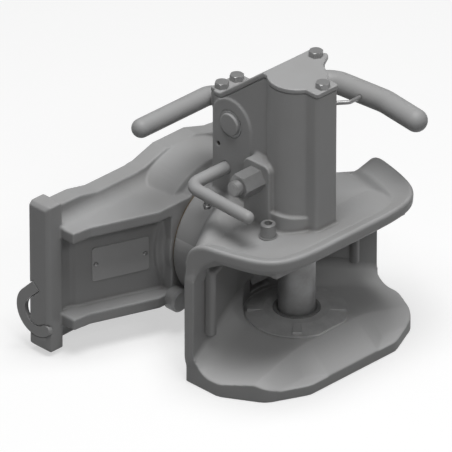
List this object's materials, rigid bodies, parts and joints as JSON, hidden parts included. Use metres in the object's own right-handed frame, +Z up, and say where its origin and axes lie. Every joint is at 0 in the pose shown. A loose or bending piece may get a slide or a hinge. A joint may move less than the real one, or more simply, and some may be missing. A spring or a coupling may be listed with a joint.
{
  "type": "trailer hitch",
  "caption": "Automatic trailer hitch: a swivelling funnel jaw with a lifting coupling pin and hand levers, on a carriage that slides into a tractor's hitch frame.",
  "frame": {"origin": "where the coupling pin's axis crosses the jaw's swivel axis", "axes": "+X out of the jaw towards the trailer along the swivel axis, +Y across the carriage, +Z up along the coupling pin"},
  "size_m": [0.282, 0.39, 0.316],
  "materials": {
    "cast_carriage": "grey paint over a cast surface, semi-gloss",
    "cast_jaw": "grey paint over a cast surface, semi-gloss",
    "machined_steel": "turned and phosphated steel, satin",
    "zinc_steel": "zinc-plated fasteners, satin",
    "bronze": "bearing bronze, dull",
    "plate": "thin sheet plate, painted, bare of print",
    "spring_steel": "spring wire, satin"
  },
  "bodies": {
    "carriage_body": {"carriage": "cast_carriage", "name_plate": "plate", "plate_rivets": "zinc_steel", "side_hook_left": "plate", "side_hook_right": "plate", "front_bush": "bronze", "rear_bush": "bronze", "thrust_ring": "bronze", "swivel_detent": "machined_steel"},
    "jaw_body": {"jaw": "cast_jaw", "rear_washer": "machined_steel", "castle_nut": "machined_steel", "cotter_pin": "zinc_steel", "upper_bush": "machined_steel", "lower_bush": "machined_steel", "wear_disc": "machined_steel", "wing_guard_left": "plate", "wing_guard_right": "plate", "top_cover": "plate", "cover_bolts": "zinc_steel", "cap_screw": "zinc_steel", "cap_washer": "zinc_steel", "cross_bolt": "zinc_steel", "cross_nut": "zinc_steel", "grease_nipple": "zinc_steel", "lever_bushes": "machined_steel", "set_screw": "zinc_steel"},
    "pin_body": {"coupling_pin": "machined_steel", "lift_pin": "machined_steel"},
    "opening_lever_body": {"opening_lever": "cast_jaw", "lifting_finger": "machined_steel", "finger_pin": "machined_steel", "return_spring": "spring_steel"},
    "rear_lever_body": {"rear_lever": "cast_jaw"},
    "closing_lever_body": {"closing_lever": "cast_jaw", "trigger_arm": "machined_steel"}
  },
  "joints": [
    {"name": "jaw_swivel", "type": "hinge", "parent": "carriage_body", "child": "jaw_body", "pos_m": [0, 0, 0], "axis": [1, 0, 0], "range_deg": [-90, 90]},
    {"name": "opening_lever_turn", "type": "hinge", "parent": "jaw_body", "child": "opening_lever_body", "pos_m": [-0.071, 0, 0.147], "axis": [0, -1, 0], "range_deg": [0, 80]},
    {"name": "pin_lift", "type": "slide", "parent": "jaw_body", "child": "pin_body", "axis": [0, 0, 1], "range_m": [0, 0.11915]},
    {"name": "rear_lever_turn", "type": "hinge", "parent": "jaw_body", "child": "rear_lever_body", "pos_m": [-0.099, 0, 0.155], "axis": [-1, 0, 0], "range_deg": [0, 60]},
    {"name": "closing_lever_turn", "type": "hinge", "parent": "jaw_body", "child": "closing_lever_body", "pos_m": [-0.0779, 0, 0.0945], "axis": [0, 1, 0], "range_deg": [0, 6], "stiffness_Nm_per_rad": 4, "springref_deg": -8.59}
  ],
  "couplings": [
    {"joint": "pin_lift", "follows": "opening_lever_turn", "m_per_rad": 0.085336}
  ]
}
